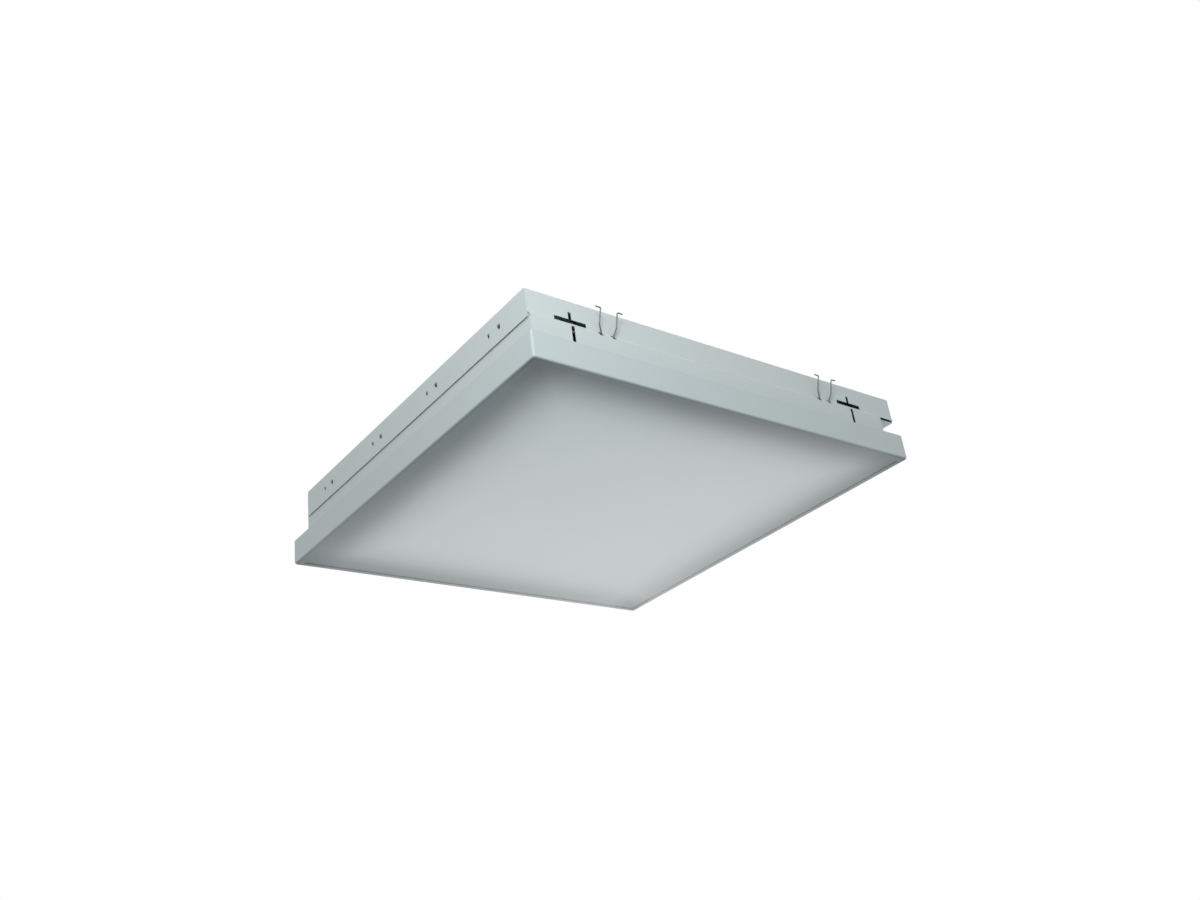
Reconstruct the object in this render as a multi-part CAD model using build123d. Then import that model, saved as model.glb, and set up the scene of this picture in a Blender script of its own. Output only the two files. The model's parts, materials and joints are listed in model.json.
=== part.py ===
from build123d import *
from math import ceil, cos, pi, sin, sqrt
import os

# Recessed troffer light, in millimetres. The origin is the centre of the trim frame's underside,
# +Z points up into the ceiling, -Y is the front with two of the four springs, -X the left end.

# Trim frame, the square door that shows in the room
trim_size = 595.0
trim_height = 35.0
trim_sheet = 0.8
trim_roll = 4.0  # outside radius of the lower edges
trim_corner = 3.0  # outside radius of the upright corners
trim_lip = 10.0  # lip under the diffuser, measured from the outside
trim_top_flange = 8.0

# Diffuser and the beads that hold it
diffuser_thickness = 3.0
bead_clearance = 0.4  # between a bead's outer leg and the frame
bead_width = 31.0  # from the outside of the frame to the inside of the bead's upstand
bead_upstand = 16.0  # top of the upstand above the underside of the frame
bead_gap = 0.2
gasket_height = 7.4
gasket_outside = 12.5  # from the outside of the frame
gasket_width = 12.0

# Housing
sheet = 0.7
inside_bend = 1.2
housing_height = 104.7
skirt_margin_ends = 14.5  # from the outside of the frame to the skirt, left and right
skirt_margin_sides = 16.0  # the same, front and back
skirt_flange = 6.0
upper_height = 36.2  # from the foot of the step to the top
step_rise = 4.5
step_depth = 3.7  # how far the long walls step in above the skirt
end_step = 1.9  # how far the left end plate stands out past the skirt
end_plate_lap = 1.2  # how far the end plate and the wiring box reach below the step
end_flange = 12.0
joggle_bend = 0.4
overhang = 29.3  # how far the wiring box stands out past the skirt
box_slot = 2.0  # open slot between the wiring box's floor and the long walls
box_lap = 10.0
box_notch_half = 64.0  # the box's top flange stops beside the terminals and the grommet
weld_lap_gap = 0.3

# Plus-shaped slots for ceiling clamps, in both long walls
clamp_from_end = 56.5  # from the end of the skirt
clamp_bar_length = 44.0
clamp_bar_rise = 0.8  # above the step
clamp_bar_width = 5.5
clamp_stem_width = 4.6
clamp_stem_up = 9.5  # above the bar
clamp_stem_down = 20.7  # below the step

# V springs
spring_from_end = 106.0  # from the end of the skirt to the middle of a spring
spring_wire = 1.6
coil_radius = 4.6  # to the middle of the wire
coil_turns_each = 1.25
coil_pitch = 2.05
coil_end_gap = 0.4
coil_drop = 24.2  # from where the arms pass the step down to the axis of the coil
slot_line_rise = 1.7  # where the arms pass the step, above its foot
slot_line_inset = 1.9  # the same, in from the face of the skirt
hook_drop = 5.0  # below the top of the housing
hook_reach = 7.4  # out from the face of the skirt
arm_slot_half = 7.14  # half the width between the arms where they enter the slots
arm_slot_drop = 0.5  # below the step
arm_bulge_half = 12.24
arm_bulge_rise = 13.2  # above the foot of the step
arm_top_half = 11.82
hook_length = 7.2
arm_bend = 3.0
hook_bend = 1.7
spring_slot_inner = 6.1  # from the middle of the spring
spring_slot_outer = 12.1
spring_slot_margin = 0.3
spring_slot_drop = 1.0  # the slots start a little below the step

# Spring brackets
bracket_sheet = 1.2
bracket_foot_width = 30.0
bracket_head_width = 15.0
bracket_flange = 4.0
bracket_shoulder = 2.0  # foot of the bracket above the bead's upstand
pin_radius = 2.4
pin_head_radius = 4.3
pin_head = 1.0
rivet_radius = 1.6
rivet_head_radius = 3.0
rivet_head = 1.0
rivet_offset = 10.0
rivet_height = 11.0

# Lamps and lampholders
lamp_radius = 8.0
lamp_glass = 0.8
lamp_from_side = 65.85  # from the face of the upper wall to the middle of an outer lamp
lamp_drop = 19.2  # below the top of the housing
lamp_end_play = 0.3
cap_wall = 0.5
cap_length = 14.0
cap_inset = 1.0
lamp_pin_radius = 1.2
lamp_pin_spacing = 4.75
lamp_pin_length = 7.0
pin_running_clearance = 0.075
pocket_extra_depth = 0.5
holder_depth = 8.45
holder_width = 17.0
holder_height_up = 11.5
holder_height_down = 12.0
holder_base = 2.2
holder_base_width = 29.0
holder_base_height = 13.0
holder_slot = 2.7
holder_base_corner = 2.0
catch_spacing = 22.0
catch_stand_out = 1.5
catch_tab_width = 3.4
catch_tab_height = 2.6
catch_peg_radius = 1.3
catch_drop = 3.4  # how far the holes reach below the tab and the peg
catch_clearance = 0.3

# Reflector
reflector_sheet = 0.5
reflector_bend = 1.5
reflector_end_gap = 0.6
ridge_foot = 38.0  # half the width of the middle ridge at the top
ridge_face = 22.0
ridge_depth = 24.5  # below the inside of the housing's top, as are the next depths
rib_foot = 16.5
rib_depth = 16.0
reflector_edge_depth = 32.5
reflector_edge_start = 26.0  # from the middle of an outer lamp
reflector_edge_slope = 24.0
reflector_edge_flange = 6.0
reflector_screw_from_end = 83.0  # from the end of the skirt
reflector_screw_radius = 2.0
reflector_screw_head_radius = 4.5
reflector_screw_head = 2.0

# Ballast and terminals
ballast_length = 350.0
ballast_width = 30.0
ballast_height = 21.0
ballast_end_height = 13.0
ballast_end_length = 14.0
ballast_foot = 11.0
ballast_foot_thickness = 1.2
ballast_screw_radius = 1.9
ballast_screw_head_radius = 3.8
ballast_screw_head = 1.8
terminal_length = 34.0
terminal_width = 16.0
terminal_height = 15.0
terminal_lower_width = 9.0
terminal_ways = 3
terminal_pitch = 10.0
terminal_screw_radius = 2.2
terminal_hole_depth = 4.0
terminal_screw_drop = 1.2
earth_offset = -48.0
earth_radius = 2.0
earth_length = 14.0
earth_nut_radius = 4.0
earth_nut = 3.2
earth_washer_radius = 5.0
earth_washer = 1.0
grommet_offset = 48.0
grommet_hole_radius = 9.0
grommet_bore_radius = 5.5
grommet_flange_radius = 11.5
grommet_flange = 2.0
grommet_nose = 5.0

# Leads
lead_radius = 1.6
lead_branch_radius = 1.3
lead_bend = 7.0
lead_end_bend = 3.5
lead_drop = 12.0  # at the outer lampholders, below the inside of the housing's top
lead_exit_drop = 8.0
lead_exit_length = 25.0
lead_turn_in = 22.0
lead_crossing_drop = 3.6
lead_offset = 7.0
lead_wall_gap = 4.8
mains_lead_radius = 2.0
mains_lead_drop = 5.6
mains_lead_sway = 3.0
mains_lead_straight = 12.0
mains_lead_bend = 60.0
lead_hole_radius = 3.5

# Places that follow from the sizes above
half_trim = trim_size / 2
skirt_right = half_trim - skirt_margin_ends
skirt_left = -skirt_right
skirt_half = half_trim - skirt_margin_sides
upper_half = skirt_half - step_depth
housing_left = skirt_left - end_step
housing_right = skirt_right + overhang
top_inside = housing_height - sheet
step_low = housing_height - upper_height
step_high = step_low + step_rise
end_plate_bottom = step_low - end_plate_lap
outside_bend = inside_bend + sheet
diffuser_bottom = trim_sheet
diffuser_top = diffuser_bottom + diffuser_thickness
bead_floor = diffuser_top + trim_sheet
skirt_bottom = bead_floor + gasket_height
bead_inside = half_trim - bead_width
chamber_left = housing_left + sheet
chamber_right = skirt_right - sheet
lamp_left = chamber_left + holder_depth + lamp_end_play
lamp_right = chamber_right - holder_depth - lamp_end_play
lamp_length = lamp_right - lamp_left  # 549 mm between the faces of the end caps
lamp_pitch = 2 * (upper_half - lamp_from_side) / 3
lamp_rows = [(row - 1.5) * lamp_pitch for row in range(4)]
lamp_height = housing_height - lamp_drop
cap_radius = lamp_radius + cap_wall
compartment_middle = (skirt_right + housing_right) / 2
clamp_places = [skirt_left + clamp_from_end, skirt_right - clamp_from_end]
clamp_bar_low = step_high + clamp_bar_rise
clamp_bar_high = clamp_bar_low + clamp_bar_width
slot_line_height = step_low + slot_line_rise
coil_height = slot_line_height - coil_drop
hook_height = housing_height - hook_drop
arm_slot_height = step_low - arm_slot_drop
arm_bulge_height = step_low + arm_bulge_rise
spring_lean = (slot_line_inset + hook_reach) / (hook_height - slot_line_height)
coil_y = -skirt_half + slot_line_inset + coil_drop * spring_lean
spring_columns = [skirt_left + spring_from_end, skirt_right - spring_from_end]
spring_places = [(x, side) for side in (-1, 1) for x in spring_columns]


def block(x_range, y_range, z_range):
    size = [high - low for low, high in (x_range, y_range, z_range)]
    corner = Location((x_range[0], y_range[0], z_range[0]))
    return corner * Box(*size, align=(Align.MIN, Align.MIN, Align.MIN))


def rod(start, direction, radius, length):
    return extrude(Plane(start, z_dir=direction) * Circle(radius), length)


def hole(place, direction, radius, wall):
    # A cutter through a wall, well past both of its faces
    start = Vector(*place) - Vector(*direction) * (2 * wall)
    return rod(start, direction, radius, 4 * wall)


def shifted_left(points, distance):
    # The same bent line, moved sideways to its left
    steps = [(Vector(*b) - Vector(*a)).normalized() for a, b in zip(points, points[1:])]
    shifted = []
    for place, point in enumerate(points):
        before = steps[max(place - 1, 0)]
        after = steps[min(place, len(steps) - 1)]
        mitre = Vector(-before.Y - after.Y, before.X + after.X) * (distance / (1 + before.dot(after)))
        shifted.append((point[0] + mitre.X, point[1] + mitre.Y))
    return shifted


def folded_sheet(points, thickness, plane, span, bend):
    # A sheet that lies to the left of its profile, with the bend as inside radius at every fold
    steps = [(Vector(*b) - Vector(*a)).normalized() for a, b in zip(points, points[1:])]
    turns_left = [before.cross(after).Z > 0 for before, after in zip(steps, steps[1:])]
    far_points = shifted_left(points, thickness)
    with BuildLine(plane) as profile:
        FilletPolyline(*points, radius=[bend + thickness * left for left in turns_left])
        FilletPolyline(*far_points, radius=[bend + thickness * (not left) for left in turns_left])
        Line(points[0], far_points[0])
        Line(points[-1], far_points[-1])
    strip = extrude(make_face(profile.edges()), span[1] - span[0], dir=plane.z_dir)
    return Location(plane.z_dir * span[0]) * strip


def tray(x_range, y_range, z_range, thickness, bend, bent_edges, open_faces):
    # A pressed tray: a block with rounded folds, hollowed through its open faces
    body = block(x_range, y_range, z_range)
    body = fillet([edge for edge in body.edges() if bent_edges(edge)], bend)
    return offset(body, amount=-thickness, openings=open_faces(body))


def at_x(shape, x):
    return [face for face in shape.faces().filter_by(Axis.X) if abs(face.center().X - x) < 0.01]


def at_z(shape, z):
    return [face for face in shape.faces().filter_by(Axis.Z) if abs(face.center().Z - z) < 0.01]


def mirrored_for(side, shape):
    # Shapes are drawn for the front. The back has them mirrored.
    return shape if side < 0 else mirror(shape, about=Plane.XZ)


def save(name, shape):
    solids = shape.solids()
    whole = Compound(children=list(solids)) if len(solids) > 1 else solids[0]
    whole.label = name
    export_step(whole, f"parts/{name}.step")


# Trim frame -----------------------------------------------------------------------------------


def make_trim_frame():
    half = half_trim
    body = block((-half, half), (-half, half), (0, trim_height))
    body = fillet(body.edges().filter_by(Axis.Z), trim_corner)
    body = fillet(body.faces().sort_by(Axis.Z)[0].edges(), trim_roll)
    body = offset(body, amount=-trim_sheet, openings=body.faces().sort_by(Axis.Z)[-1])
    window = half - trim_lip
    body -= extrude(RectangleRounded(2 * window, 2 * window, trim_corner), trim_sheet * 2)
    flange = Plane.XY.offset(trim_height - trim_sheet) * (
        RectangleRounded(trim_size, trim_size, trim_corner)
        - Rectangle(trim_size - 2 * trim_top_flange, trim_size - 2 * trim_top_flange)
    )
    return body + extrude(flange, trim_sheet)


def make_diffuser():
    side = trim_size - 2 * (trim_roll + bead_gap)
    panel = extrude(RectangleRounded(side, side, trim_corner), diffuser_thickness)
    return Location((0, 0, diffuser_bottom)) * panel


def make_glazing_beads():
    # Each bead stands on the diffuser, under the frame's top flange, and is mitred at its ends
    leg = -half_trim + trim_sheet + bead_clearance
    points = [
        (leg, trim_height - trim_sheet - bead_gap),
        (leg, diffuser_top),
        (-bead_inside, diffuser_top),
        (-bead_inside, bead_upstand),
    ]
    reach = half_trim + trim_sheet
    strip = folded_sheet(points, trim_sheet, Plane.YZ, (-reach, reach), inside_bend)
    tip = -bead_gap
    corner = half_trim + tip
    wedge = make_face(Polyline((0, tip), (-corner, -half_trim), (corner, -half_trim), close=True))
    rounded = extrude(RectangleRounded(-2 * leg, -2 * leg, trim_corner - trim_sheet), trim_height)
    front = strip & extrude(wedge, trim_height, dir=(0, 0, 1)) & rounded
    names = ["front", "right", "back", "left"]
    return {name: Rot(0, 0, 90 * turn) * front for turn, name in enumerate(names)}


def make_gasket():
    outside = trim_size - 2 * gasket_outside
    inside = outside - 2 * gasket_width
    ring = RectangleRounded(outside, outside, gasket_width) - Rectangle(inside, inside)
    return Location((0, 0, bead_floor)) * extrude(ring, gasket_height)


# Housing --------------------------------------------------------------------------------------


def clamp_slot_cutters():
    cutters = []
    depth = 4 * step_depth
    for side in (-1, 1):
        wall = side * skirt_half
        y_range = (wall - depth, wall + depth)
        for x in clamp_places:
            bar = (x - clamp_bar_length / 2, x + clamp_bar_length / 2)
            stem = (x - clamp_stem_width / 2, x + clamp_stem_width / 2)
            cutters.append(block(bar, y_range, (clamp_bar_low, clamp_bar_high)))
            cutters.append(block(stem, y_range, (clamp_bar_low, clamp_bar_high + clamp_stem_up)))
            cutters.append(block(stem, y_range, (step_low - clamp_stem_down, step_low)))
    return cutters


def spring_slot_cutters():
    cutters = []
    z_range = (step_low - spring_slot_drop, step_high + spring_slot_margin)
    for middle, side in spring_places:
        near = side * (upper_half - 2 * sheet)
        far = side * (skirt_half + sheet)
        for hand in (-1, 1):
            ends = sorted((middle + hand * spring_slot_inner, middle + hand * spring_slot_outer))
            cutters.append(block(ends, sorted((near, far)), z_range))
    return cutters


def make_housing_channel():
    points = [
        (-skirt_half + skirt_flange, skirt_bottom),
        (-skirt_half, skirt_bottom),
        (-skirt_half, step_low),
        (-upper_half, step_high),
        (-upper_half, housing_height),
    ]
    points += [(-y, z) for y, z in reversed(points)]
    points.reverse()
    span = (chamber_left, housing_right)
    body = folded_sheet(points, sheet, Plane.YZ, span, inside_bend)
    wide = (-half_trim, half_trim)
    body -= block((chamber_left - sheet, skirt_left), wide, (0, step_high))
    box_floor_top = end_plate_bottom + sheet
    body -= block((skirt_right, housing_right + sheet), wide, (0, box_floor_top + box_slot))
    for cutter in clamp_slot_cutters() + spring_slot_cutters():
        body -= cutter
    holes = [
        (compartment_middle, grommet_offset, grommet_hole_radius),
        (compartment_middle, earth_offset, earth_radius),
    ]
    holes += [(x, y, reflector_screw_radius) for x, y in reflector_screw_places()]
    holes += [(x, 0, ballast_screw_radius) for x in ballast_screw_places()]
    for x, y, radius in holes:
        body -= hole((x, y, top_inside), (0, 0, 1), radius, sheet)
    return body


def catch_holes(clearance):
    # Drawn like a lampholder. The tab and the peg sit in the tops of their holes, which are open
    # below them, so that the catches can spring back and a blade can reach them.
    half_tab = catch_tab_width / 2 + clearance
    peg_hole = catch_peg_radius + clearance
    tab_y = -catch_spacing / 2
    peg_y = catch_spacing / 2
    deep = (-2 * sheet, holder_base + sheet)
    holes = block(deep, (tab_y - half_tab, tab_y + half_tab), (-catch_drop, catch_tab_height + clearance))
    holes += block(deep, (peg_y - peg_hole, peg_y + peg_hole), (-catch_drop + peg_hole, catch_peg_radius))
    length = deep[1] - deep[0]
    for z in (-catch_drop + peg_hole, catch_peg_radius):
        holes += rod((deep[0], peg_y, z), (1, 0, 0), peg_hole, length)
    return holes


def catch_hole_cutters(end):
    return [lampholder_place(end, row) * catch_holes(catch_clearance) for row in lamp_rows]


def make_end_plate_left():
    inside_half = upper_half - sheet
    z_range = (end_plate_bottom, housing_height)
    plate = block((housing_left, chamber_left), (-upper_half, upper_half), z_range)
    top_corners = plate.edges().filter_by(Axis.X).group_by(Axis.Z)[-1]
    plate = fillet(top_corners, outside_bend)
    inner_edge = housing_left + end_flange
    flanges = tray(
        (housing_left, inner_edge),
        (-inside_half, inside_half),
        (step_high, top_inside),
        sheet,
        outside_bend,
        lambda edge: edge.center().Z > step_high + sheet and edge.center().X < inner_edge - sheet,
        lambda body: at_x(body, inner_edge) + at_z(body, step_high),
    )
    body = plate + flanges
    for cutter in catch_hole_cutters("left"):
        body -= cutter
    return body


def corner_reliefs(x_range):
    # Room in the lower corners of an end wall for the bottom flanges of the channel
    flange_end = skirt_half - skirt_flange - weld_lap_gap
    z_range = (skirt_bottom - sheet, skirt_bottom + outside_bend)
    front = block(x_range, (-skirt_half, -flange_end), z_range)
    return front + mirror(front, about=Plane.XZ)


def make_skirt_wall_left():
    # Its middle steps out behind the end plate, and an ear at each end closes the step of the channel
    inside_half = skirt_half - sheet
    inner_edge = skirt_left + skirt_flange
    low_top = step_low - weld_lap_gap
    low = tray(
        (skirt_left, inner_edge),
        (-inside_half, inside_half),
        (skirt_bottom, low_top),
        sheet,
        outside_bend,
        lambda edge: edge.center().Z < low_top - sheet and edge.center().X < skirt_left + sheet,
        lambda body: at_x(body, inner_edge) + at_z(body, low_top),
    )
    low -= corner_reliefs((skirt_left - sheet, inner_edge + sheet))
    tongue_half = upper_half - 2 * sheet
    joggle = [
        (chamber_left, step_high - weld_lap_gap),
        (chamber_left, low_top + end_step),
        (skirt_left, low_top),
        (skirt_left, skirt_bottom + skirt_flange),
    ]
    tongue = folded_sheet(joggle, sheet, Plane.XZ, (-tongue_half, tongue_half), joggle_bend)
    ear_inside = tongue_half + weld_lap_gap
    ear_outside = inside_half - 2 * weld_lap_gap
    ear_top = low_top + (ear_outside - ear_inside) * step_rise / step_depth
    ear = Polyline(
        (ear_inside, low_top - sheet),
        (ear_outside, low_top - sheet),
        (ear_outside, low_top),
        (ear_inside, ear_top),
        close=True,
    )
    ear = extrude(Plane.YZ.offset(skirt_left) * make_face(ear), sheet)
    return low + tongue + ear + mirror(ear, about=Plane.XZ)


def make_skirt_wall_right():
    # The right wall runs up to the top, because it carries the right-hand lampholders too
    inner_edge = skirt_right - skirt_flange
    low_top = step_low - sheet
    high_bottom = step_low - 3 * sheet
    low = tray(
        (inner_edge, skirt_right),
        (-skirt_half + sheet, skirt_half - sheet),
        (skirt_bottom, low_top),
        sheet,
        outside_bend,
        lambda edge: edge.center().Z < low_top - sheet and edge.center().X > skirt_right - sheet,
        lambda body: at_x(body, inner_edge) + at_z(body, low_top),
    )
    high = tray(
        (inner_edge, skirt_right),
        (-upper_half + sheet, upper_half - sheet),
        (high_bottom, top_inside),
        sheet,
        outside_bend,
        lambda edge: edge.center().Z > high_bottom + sheet and edge.center().X > inner_edge + sheet,
        lambda body: at_x(body, inner_edge) + at_z(body, high_bottom),
    )
    body = low - corner_reliefs((inner_edge - sheet, skirt_right + sheet)) + high
    for cutter in catch_hole_cutters("right"):
        body -= cutter
    lead_place = (chamber_right, 0, top_inside - mains_lead_drop)
    return body - hole(lead_place, (1, 0, 0), lead_hole_radius, sheet)


def make_wiring_box():
    floor = end_plate_bottom
    points = [
        (skirt_right, floor + box_lap),
        (skirt_right, floor),
        (housing_right, floor),
        (housing_right, top_inside),
        (housing_right - box_lap, top_inside),
    ]
    inner = upper_half - sheet
    body = folded_sheet(points, sheet, Plane.XZ, (-upper_half, upper_half), inside_bend)
    along = (skirt_right - sheet, housing_right + sheet)
    inside = block(along, (-inner, inner), (floor - sheet, top_inside))
    inside = fillet(inside.edges().filter_by(Axis.X).group_by(Axis.Z)[-1], inside_bend)
    body &= inside + block(along, (-upper_half, upper_half), (floor - sheet, floor + 2 * sheet))
    flange = (housing_right - box_lap - sheet, housing_right - outside_bend)
    return body - block(flange, (-box_notch_half, box_notch_half), (top_inside - 2 * sheet, housing_height))


# Reflector, ballast and wiring ------------------------------------------------------------------


def reflector_screw_places():
    trough = (ridge_foot + lamp_pitch - rib_foot) / 2
    columns = (skirt_left + reflector_screw_from_end, skirt_right - reflector_screw_from_end)
    return [(x, y) for x in columns for y in (-trough, trough)]


def ballast_screw_places():
    place = ballast_length / 2 + ballast_foot / 2
    return [-place, place]


def make_reflector():
    high = top_inside - reflector_sheet
    edge_foot = lamp_rows[-1] + reflector_edge_start
    edge_end = edge_foot + reflector_edge_slope
    edge_low = top_inside - reflector_edge_depth
    half_profile = [
        (ridge_face, top_inside - ridge_depth),
        (ridge_foot, high),
        (lamp_pitch - rib_foot, high),
        (lamp_pitch, top_inside - rib_depth),
        (lamp_pitch + rib_foot, high),
        (edge_foot, high),
        (edge_end, edge_low),
        (edge_end + reflector_edge_flange, edge_low),
    ]
    points = [(-y, z) for y, z in reversed(half_profile)] + half_profile
    left = housing_left + end_flange + reflector_end_gap
    span = (left, chamber_right - holder_depth - reflector_end_gap)
    body = folded_sheet(points, reflector_sheet, Plane.YZ, span, reflector_bend)
    for x, y in reflector_screw_places():
        body -= hole((x, y, high), (0, 0, 1), reflector_screw_radius, reflector_sheet)
    return body


def make_screws(places, z, radius, head_radius, head, length):
    # Pan head screws that point up, with their heads under the height z
    screws = []
    for x, y in places:
        pan = rod((x, y, z - head), (0, 0, 1), head_radius, head)
        pan = fillet(pan.edges().group_by(Axis.Z)[0], head / 2)
        screws.append(pan + rod((x, y, z), (0, 0, 1), radius, length))
    return Compound(children=screws)


def make_ballast():
    half = ballast_width / 2
    low = top_inside - ballast_height
    case = block((-ballast_length / 2, ballast_length / 2), (-half, half), (low, top_inside))
    case = fillet(case.edges().filter_by(Axis.X), inside_bend)
    for hand in (-1, 1):
        end = hand * ballast_length / 2
        inner = end - hand * ballast_end_length
        foot = sorted((inner, end + hand * ballast_foot))
        case -= block(foot, (-ballast_width, ballast_width), (0, top_inside - ballast_end_height))
        case += block(foot, (-half, half), (top_inside - ballast_foot_thickness, top_inside))
    for x in ballast_screw_places():
        case -= hole((x, 0, top_inside), (0, 0, 1), ballast_screw_radius, ballast_foot_thickness)
    return case


def make_terminal_block():
    low = top_inside - terminal_height
    middle = compartment_middle
    along = (-terminal_length / 2, terminal_length / 2)
    wide = (middle - terminal_width / 2, middle + terminal_width / 2)
    narrow = (middle - terminal_lower_width / 2, middle + terminal_lower_width / 2)
    body = block(wide, along, (low + terminal_height / 2, top_inside))
    body += block(narrow, along, (low, top_inside))
    for y in terminal_rows():
        body -= rod((middle, y, low), (0, 0, 1), terminal_screw_radius + catch_clearance, terminal_hole_depth)
    return body


def terminal_rows():
    return [(way - (terminal_ways - 1) / 2) * terminal_pitch for way in range(terminal_ways)]


def make_terminal_screws():
    low = top_inside - terminal_height
    screws = []
    for y in terminal_rows():
        place = (compartment_middle, y, low + terminal_screw_drop)
        screw = rod(place, (0, 0, 1), terminal_screw_radius, terminal_hole_depth - terminal_screw_drop)
        slot_half = terminal_screw_drop / 4
        deep = (place[2] - terminal_screw_drop, place[2] + terminal_screw_drop)
        x_range = (compartment_middle - terminal_screw_radius, compartment_middle + terminal_screw_radius)
        screws.append(screw - block(x_range, (y - slot_half, y + slot_half), deep))
    return Compound(children=screws)


def make_earth_stud():
    x, y = compartment_middle, earth_offset
    body = rod((x, y, housing_height - earth_length), (0, 0, 1), earth_radius, earth_length)
    body += rod((x, y, top_inside - earth_washer), (0, 0, 1), earth_washer_radius, earth_washer)
    nut_top = top_inside - earth_washer
    nut = extrude(RegularPolygon(earth_nut_radius, 6), earth_nut)
    return body + Location((x, y, nut_top - earth_nut)) * nut


def make_cable_grommet():
    # A turned rubber grommet with a groove that holds the edge of the hole
    low = top_inside - grommet_flange
    high = housing_height
    profile = Polyline(
        (grommet_bore_radius, low),
        (grommet_flange_radius, low),
        (grommet_flange_radius, top_inside),
        (grommet_hole_radius, top_inside),
        (grommet_hole_radius, high),
        (grommet_flange_radius, high),
        (grommet_flange_radius, high + grommet_flange / 2),
        (grommet_bore_radius + grommet_flange, high + grommet_nose),
        (grommet_bore_radius, high + grommet_nose),
        close=True,
    )
    turned = revolve(make_face(Plane.XZ * profile), Axis.Z)
    return Location((compartment_middle, grommet_offset, 0)) * turned


def make_lead(points, radius, bends):
    path = FilletPolyline(*points, radius=bends)
    start = Plane(path @ 0, z_dir=path % 0)
    return sweep(start * Circle(radius), path=path)


def make_lamp_leads(end, side):
    # From the ballast along the middle ridge, then behind the reflector's end to the outer lampholder,
    # with a branch down into the inner one
    ballast_end = end * ballast_length / 2
    across = chamber_left + lead_wall_gap if end < 0 else chamber_right - lead_wall_gap
    beside = side * (lamp_rows[-1] - holder_width / 2)
    y = side * lead_offset
    exit_height = top_inside - lead_exit_drop
    crossing_height = top_inside - lead_crossing_drop
    end_height = top_inside - lead_drop
    points = [
        (ballast_end, y, exit_height),
        (ballast_end + end * lead_exit_length, y, exit_height),
        (across - end * lead_turn_in, y, crossing_height),
        (across, y, crossing_height),
        (across, beside - side * 5 * lead_end_bend, crossing_height),
        (across, beside - side * 2 * lead_end_bend, end_height),
        (across, beside, end_height),
    ]
    bends = [2 * lead_bend, 2 * lead_bend, lead_bend, lead_end_bend, lead_end_bend]
    holder_top = lamp_height + holder_height_up
    branch_place = (across, side * lamp_rows[2], holder_top)
    branch = rod(branch_place, (0, 0, 1), lead_branch_radius, crossing_height - holder_top)
    return make_lead(points, lead_radius, bends) + branch


def make_mains_leads():
    start = ballast_length / 2
    end = compartment_middle - terminal_width / 2
    straight_end = end - mains_lead_straight
    third = (straight_end - start - mains_lead_straight) / 3
    high = top_inside - mains_lead_drop
    low = high - mains_lead_sway
    points = [
        (start, 0, high),
        (start + mains_lead_straight, 0, high),
        (start + mains_lead_straight + third, mains_lead_sway, low),
        (straight_end - third, -mains_lead_sway, low),
        (straight_end, 0, high),
        (end, 0, high),
    ]
    return make_lead(points, mains_lead_radius, [mains_lead_bend] * (len(points) - 2))


# Lampholders and lamps ---------------------------------------------------------------------------


def make_lampholder():
    # Drawn at the origin on its wall, looking along +X into the lamp chamber
    tall = holder_height_up + holder_height_down
    middle = (holder_height_up - holder_height_down) / 2
    front = Plane.YZ * Location((0, middle)) * RectangleRounded(holder_width, tall, holder_width / 4)
    body = extrude(front, holder_depth)
    base = Plane.YZ * RectangleRounded(holder_base_width, holder_base_height, holder_base_corner)
    body += extrude(base, holder_base)
    pocket_radius = lamp_pin_spacing / 2 + lamp_pin_radius + pin_running_clearance
    pocket = lamp_pin_length - lamp_end_play + pocket_extra_depth
    body -= rod((holder_depth, 0, 0), (-1, 0, 0), pocket_radius, pocket)
    slot = (-holder_slot / 2, holder_slot / 2)
    body -= block((holder_depth - pocket, 2 * holder_depth), slot, (-2 * holder_height_down, 0))
    body -= catch_holes(0)
    reach = sheet + catch_stand_out
    tab_y = -catch_spacing / 2
    tab = block(
        (-reach, holder_base),
        (tab_y - catch_tab_width / 2, tab_y + catch_tab_width / 2),
        (0, catch_tab_height),
    )
    tab = chamfer(tab.faces().sort_by(Axis.X)[0].edges(), catch_stand_out / 3)
    peg_start = (holder_base, catch_spacing / 2, catch_peg_radius)
    peg = rod(peg_start, (-1, 0, 0), catch_peg_radius, holder_base + reach - catch_stand_out / 2)
    return body + tab + peg


def lampholder_place(end, row):
    wall, turn = (chamber_left, 0) if end == "left" else (chamber_right, 180)
    return Location((wall, row, lamp_height), (0, 0, turn))


def make_lamp_tube(row):
    glass = Plane.YZ * (Circle(lamp_radius) - Circle(lamp_radius - lamp_glass))
    tube = extrude(glass, lamp_length - 2 * cap_inset)
    return Location((lamp_left + cap_inset, row, lamp_height)) * tube


def make_lamp_caps(row):
    cup = extrude(Plane.YZ * Circle(cap_radius), cap_length)
    cup = fillet(cup.edges().group_by(Axis.X)[0], cap_inset)
    cup -= rod((cap_inset, 0, 0), (1, 0, 0), lamp_radius, cap_length)
    for y in (-lamp_pin_spacing / 2, lamp_pin_spacing / 2):
        pin = rod((cap_inset / 2, y, 0), (-1, 0, 0), lamp_pin_radius, lamp_pin_length + cap_inset / 2)
        cup += fillet(pin.edges().group_by(Axis.X)[0], lamp_pin_radius / 2)
    left = Location((lamp_left, row, lamp_height)) * cup
    right = Location((lamp_right, row, lamp_height), (0, 0, 180)) * cup
    return Compound(children=[left, right])


# Springs and their brackets ------------------------------------------------------------------------


def spring_frame(middle):
    # A front spring stands in a plane that leans outwards: X is left to right, Y up along the lean
    up = Vector(0, -spring_lean, 1).normalized()
    return Plane((middle, coil_y, coil_height), x_dir=(1, 0, 0), z_dir=Vector(1, 0, 0).cross(up))


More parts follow.
